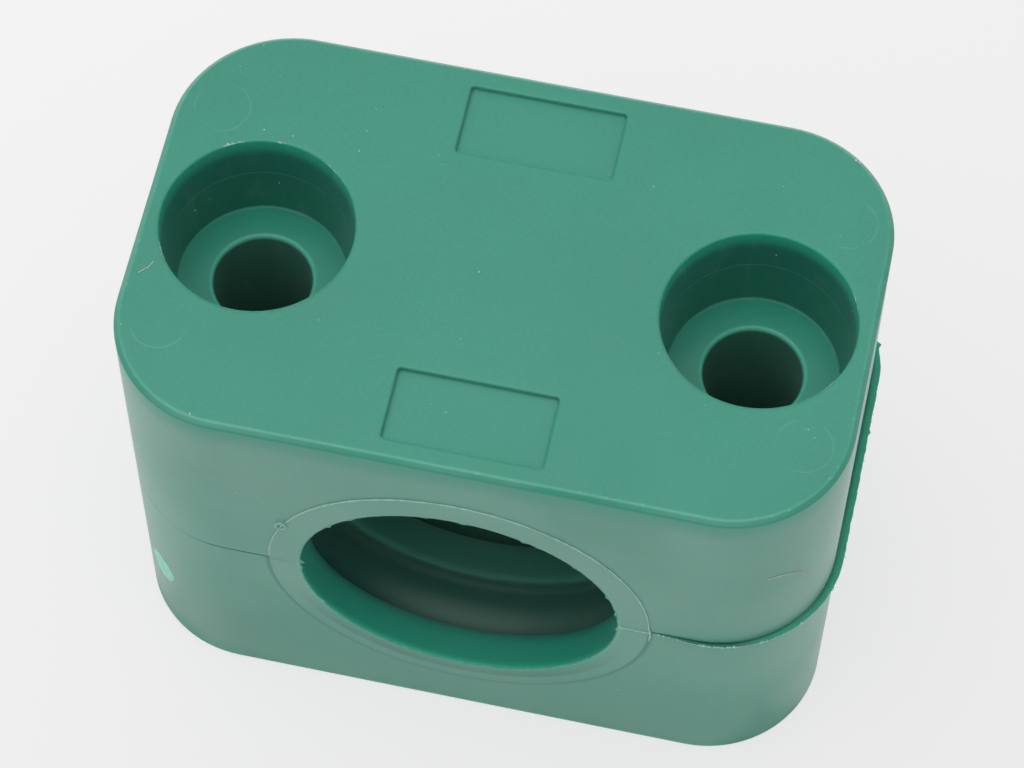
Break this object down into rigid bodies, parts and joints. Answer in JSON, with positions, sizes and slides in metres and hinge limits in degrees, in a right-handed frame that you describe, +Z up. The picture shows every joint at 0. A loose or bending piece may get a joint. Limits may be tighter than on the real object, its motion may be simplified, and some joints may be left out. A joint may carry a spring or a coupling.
{
  "type": "hydraulic tube clamp",
  "caption": "Split plastic clamp for a hydraulic tube: two like halves with a ribbed bore, bolt holes with deep head wells and rounded corners.",
  "frame": {"origin": "middle of the tube bore, on the seam between the two halves", "axes": "+Y along the tube, +X along the line of the two bolts, +Z up through the bolts, away from what the clamp stands on"},
  "size_m": [0.048, 0.03, 0.035],
  "materials": {
    "green_polypropylene": "fine satin, as moulded"
  },
  "bodies": {
    "root": {"upper_half": "green_polypropylene", "lower_half": "green_polypropylene"}
  },
  "joints": []
}
